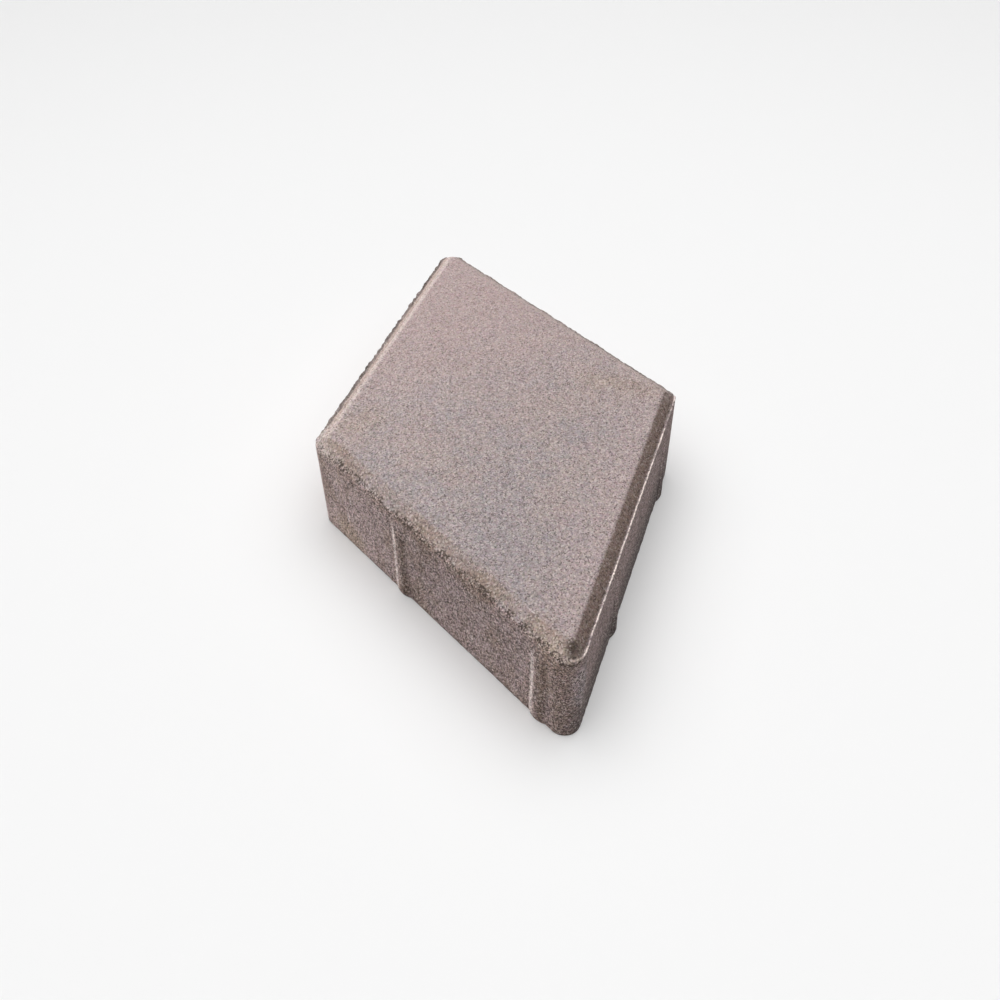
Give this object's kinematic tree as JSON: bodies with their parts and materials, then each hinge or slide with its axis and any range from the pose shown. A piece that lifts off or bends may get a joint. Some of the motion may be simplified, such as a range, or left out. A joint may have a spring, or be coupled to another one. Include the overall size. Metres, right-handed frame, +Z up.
{
  "type": "concrete paving stone",
  "caption": "Rhombus concrete paving stone with a chamfered wearing face, a narrow ledge outside the chamfer and upright spacer nibs on its sides.",
  "frame": {"origin": "middle of the bed face, the flat underside that the stone lies on", "axes": "+Z up out of the wearing face; +Y along the long diagonal, towards a sharp corner; +X along the short diagonal, towards a blunt corner"},
  "size_m": [0.1936, 0.3234, 0.06],
  "materials": {
    "concrete": "matte, fine sandy face, vibro-pressed"
  },
  "bodies": {
    "root": {"paving_stone": "concrete"}
  },
  "joints": []
}
